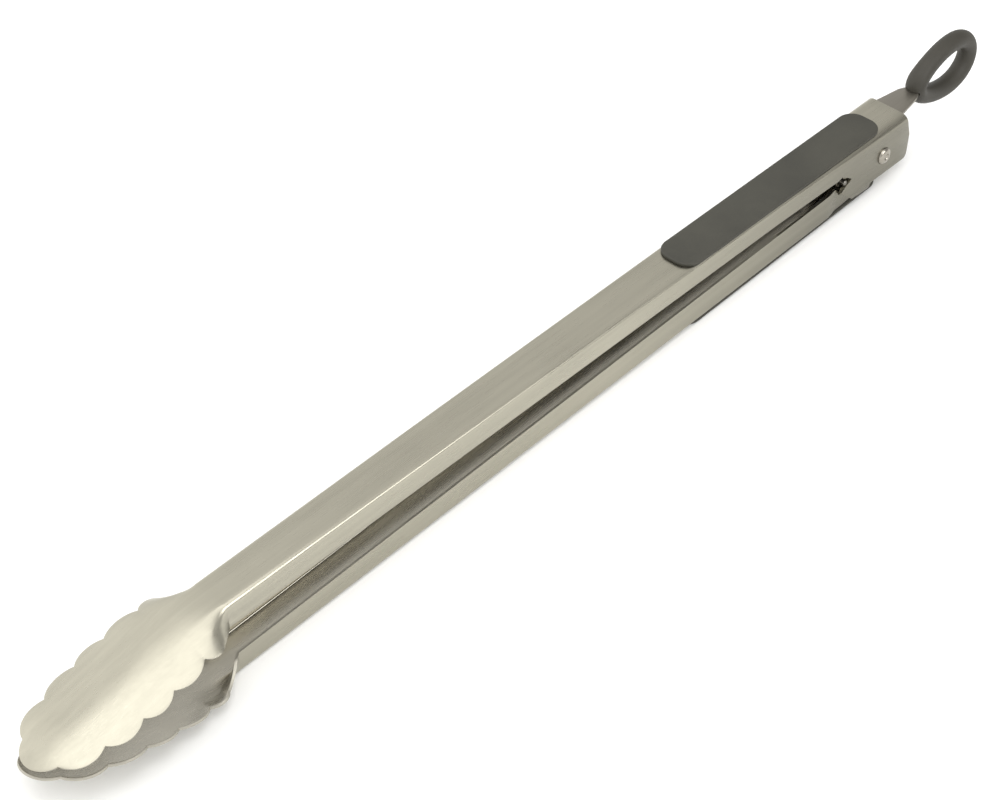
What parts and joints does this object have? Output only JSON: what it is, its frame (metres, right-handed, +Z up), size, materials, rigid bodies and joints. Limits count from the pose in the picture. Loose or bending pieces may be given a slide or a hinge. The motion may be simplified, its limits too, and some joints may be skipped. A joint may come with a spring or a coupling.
{
  "type": "locking kitchen tongs",
  "caption": "Long spring-loaded kitchen tongs with scalloped steel jaws, rubber grip pads and a pull-ring lock.",
  "frame": {"origin": "middle of the length and width, at the surface the closed tongs lie on", "axes": "+X along the tongs to the hanging ring, +Y across the jaws, +Z up from the lower arm to the upper arm"},
  "size_m": [0.467, 0.0362, 0.035],
  "materials": {
    "lower_arm": "satin brushed stainless steel, polished at the jaw",
    "upper_arm": "satin brushed stainless steel, polished at the jaw",
    "lower_grip": "matt dark grey soft rubber",
    "upper_grip": "matt dark grey soft rubber",
    "pivot_rivet": "polished steel",
    "pivot_spacer": "drawn steel tube",
    "torsion_spring": "spring steel wire",
    "lock_strap": "satin steel strip",
    "lock_bar": "drawn steel wire",
    "hang_ring": "matt dark grey rubber"
  },
  "bodies": {
    "lower_arm": {"lower_arm": "lower_arm", "lower_grip": "lower_grip", "pivot_rivet": "pivot_rivet", "pivot_spacer": "pivot_spacer", "torsion_spring": "torsion_spring"},
    "upper_arm": {"upper_arm": "upper_arm", "upper_grip": "upper_grip"},
    "lock": {"lock_strap": "lock_strap", "lock_bar": "lock_bar", "hang_ring": "hang_ring"}
  },
  "joints": [
    {"name": "arm_open", "type": "hinge", "parent": "lower_arm", "child": "upper_arm", "pos_m": [0.16784, 0, 0.01311], "axis": [0, 1, 0], "range_deg": [0, 20], "stiffness_Nm_per_rad": 0.3, "springref_deg": 40.11, "deforming": ["torsion_spring"]},
    {"name": "lock_slide", "type": "slide", "parent": "upper_arm", "child": "lock", "axis": [-0.9997, 0, 0.0226], "range_m": [0, 0.0102]}
  ],
  "couplings": [
    {"joint": "lock_slide", "follows": "arm_open", "m_per_rad": 0.02865}
  ]
}
